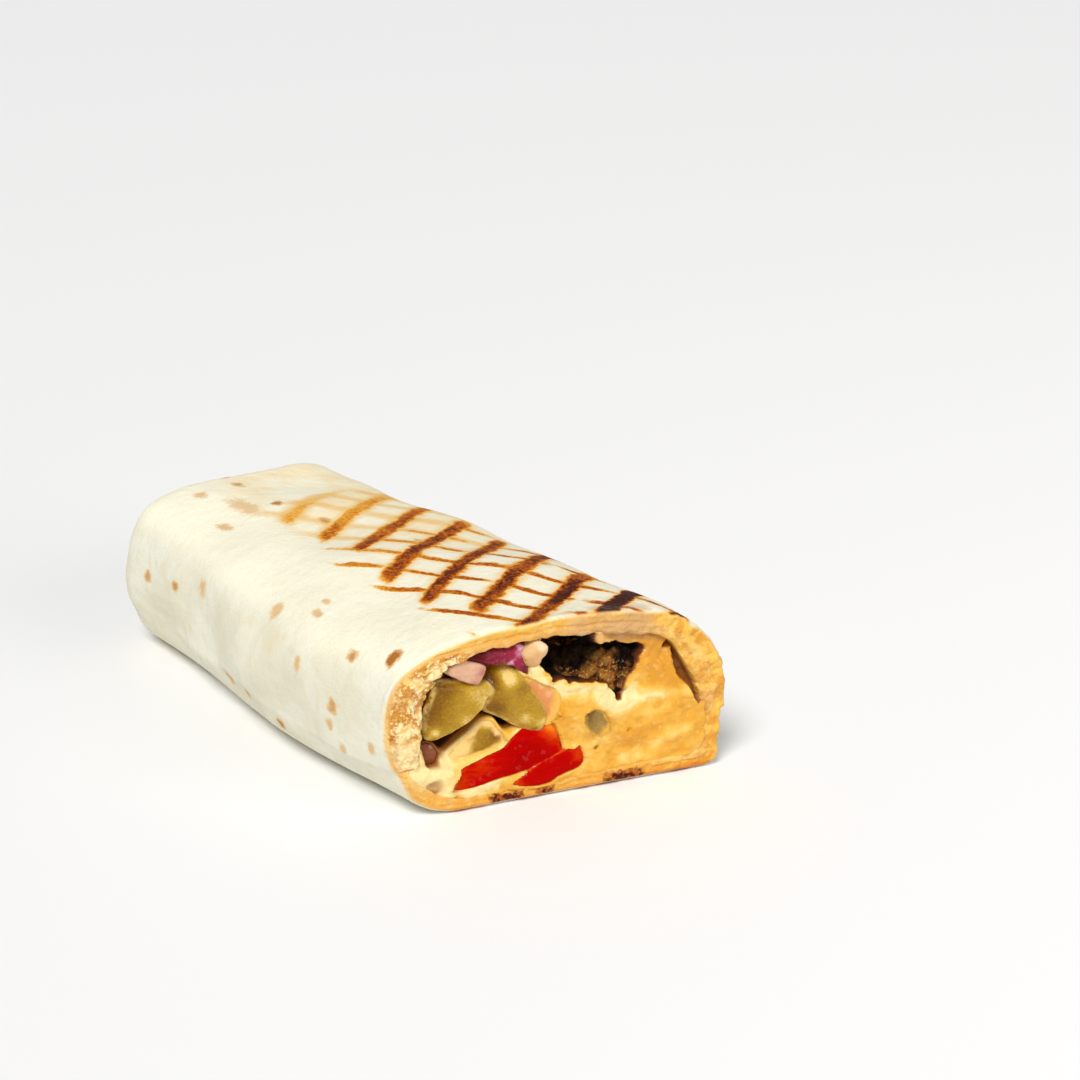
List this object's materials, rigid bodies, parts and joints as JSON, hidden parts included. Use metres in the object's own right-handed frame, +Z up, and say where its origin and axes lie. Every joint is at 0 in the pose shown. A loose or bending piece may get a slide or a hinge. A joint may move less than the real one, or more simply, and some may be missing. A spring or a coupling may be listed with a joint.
{
  "type": "kafta wrap half",
  "caption": "Half of a grilled flatbread wrap, cut on a slant, filled with minced meat, pickles, tomato, red onion and hummus.",
  "frame": {"origin": "on the surface it lies on, under the centre of its bounding box", "axes": "+Y along the roll from the slanted cut to the folded end, +Z up, +X across to the side that the slant leaves longer"},
  "size_m": [0.0618, 0.1146, 0.0326],
  "materials": {
    "bread": "floury soft wheat skin with toasted spots and brown grill marks",
    "hummus": "creamy, slightly wet paste",
    "kafta": "crumbly browned minced meat",
    "pickle": "wet translucent olive green",
    "tomato": "wet red flesh",
    "red_onion": "wet purple skin side",
    "pale_onion": "wet translucent pink flesh"
  },
  "bodies": {
    "root": {"flatbread": "bread", "hummus": "hummus", "kafta": "kafta", "pickle_a": "pickle", "pickle_b": "pickle", "pickle_c": "pickle", "pickle_d": "pickle", "tomato_a": "tomato", "tomato_b": "tomato", "onion_a": "red_onion", "onion_b": "pale_onion", "onion_c": "pale_onion", "onion_d": "pale_onion", "onion_e": "red_onion"}
  },
  "joints": []
}
